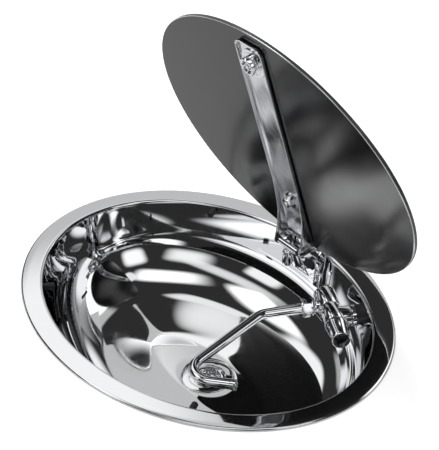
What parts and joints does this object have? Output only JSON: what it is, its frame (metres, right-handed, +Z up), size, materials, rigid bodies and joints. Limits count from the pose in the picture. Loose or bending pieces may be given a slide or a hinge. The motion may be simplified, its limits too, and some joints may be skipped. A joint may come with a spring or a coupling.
{
  "type": "rv sink with glass lid",
  "caption": "Oval drop-in steel sink for a vehicle or boat, with a hinged smoked glass lid on a channel arm and a folding swivel tap inside the bowl.",
  "frame": {"origin": "centre of the oval worktop cut-out, on the worktop's surface, which the rim's seal rests on", "axes": "+X along the oval's long axis, tap side positive; +Y towards the lid's hinge at the back; +Z up out of the worktop"},
  "size_m": [0.6, 0.4492, 0.5959],
  "materials": {
    "polished_steel": "mirror polished",
    "chrome": "polished",
    "smoked_glass": "smoked, polished",
    "black_rubber": "matt",
    "black_plastic": "gloss",
    "blue_plastic": "gloss",
    "pale_foam": "matt",
    "brass": "turned",
    "zinc_steel": "zinc plated",
    "grey_plastic": "satin"
  },
  "bodies": {
    "sink": {"bowl": "polished_steel", "flange_gasket": "pale_foam", "waste_flange": "chrome", "waste_cross": "chrome", "waste_seal": "black_rubber", "waste_backnut": "grey_plastic", "waste_tail": "grey_plastic", "waste_washer": "black_rubber", "lid_buffers": "black_rubber", "hinge_bracket": "chrome", "hinge_pad": "black_rubber", "hinge_backing": "zinc_steel", "hinge_screws": "chrome", "hinge_nuts": "zinc_steel", "hinge_pin": "chrome", "pin_caps": "chrome", "friction_washers": "black_plastic", "bar_stop": "black_rubber", "tap_body": "chrome", "collar_seals": "black_rubber", "collar_screw": "chrome", "valve_cartridge": "brass", "tap_rose": "chrome", "tap_inner_seal": "black_rubber", "tap_outer_seal": "black_rubber", "tap_washer": "zinc_steel", "tap_backnut": "brass", "clamp_tabs": "polished_steel", "clamp_claws": "zinc_steel", "clamp_screws": "zinc_steel"},
    "lid": {"lid_glass": "smoked_glass", "lid_arm": "chrome", "arm_pads": "pale_foam", "front_washer": "chrome", "rear_washer": "chrome", "glass_sleeves": "grey_plastic", "lid_caps": "chrome", "front_nut": "chrome", "rear_nut": "chrome", "bar_bushes": "black_rubber", "cross_bar": "chrome", "cross_rivet": "chrome"},
    "tap_head": {"tap_collar": "chrome", "collar_cap": "black_plastic", "spout_nut": "chrome", "spout_seal": "black_rubber"},
    "spout": {"spout_tube": "chrome", "spout_outlet": "chrome"},
    "knob": {"tap_knob": "chrome", "knob_cap": "black_plastic", "knob_screw": "zinc_steel", "valve_spindle": "brass", "cold_index": "blue_plastic"},
    "strainer": {"strainer": "polished_steel"}
  },
  "joints": [
    {"name": "lid_hinge", "type": "hinge", "parent": "sink", "child": "lid", "pos_m": [-0.008, 0.19, 0.0085], "axis": [-1, 0, 0], "range_deg": [-76.7, 13.3]},
    {"name": "tap_fold", "type": "hinge", "parent": "sink", "child": "tap_head", "pos_m": [0.08898, 0.14499, -0.026], "axis": [-0.8909, 0.4542, 0], "range_deg": [0, 90]},
    {"name": "spout_swivel", "type": "hinge", "parent": "tap_head", "child": "spout", "pos_m": [0.08898, 0.14499, -0.026], "axis": [-0.4542, -0.8909, 0], "range_deg": [-40, 25]},
    {"name": "tap_knob", "type": "hinge", "parent": "sink", "child": "knob", "pos_m": [0.14243, 0.11774, -0.026], "axis": [0.8909, -0.4542, 0], "range_deg": [0, 90]},
    {"name": "strainer_lift", "type": "slide", "parent": "sink", "child": "strainer", "axis": [0, 0, 1], "range_m": [0, 0.03]}
  ]
}
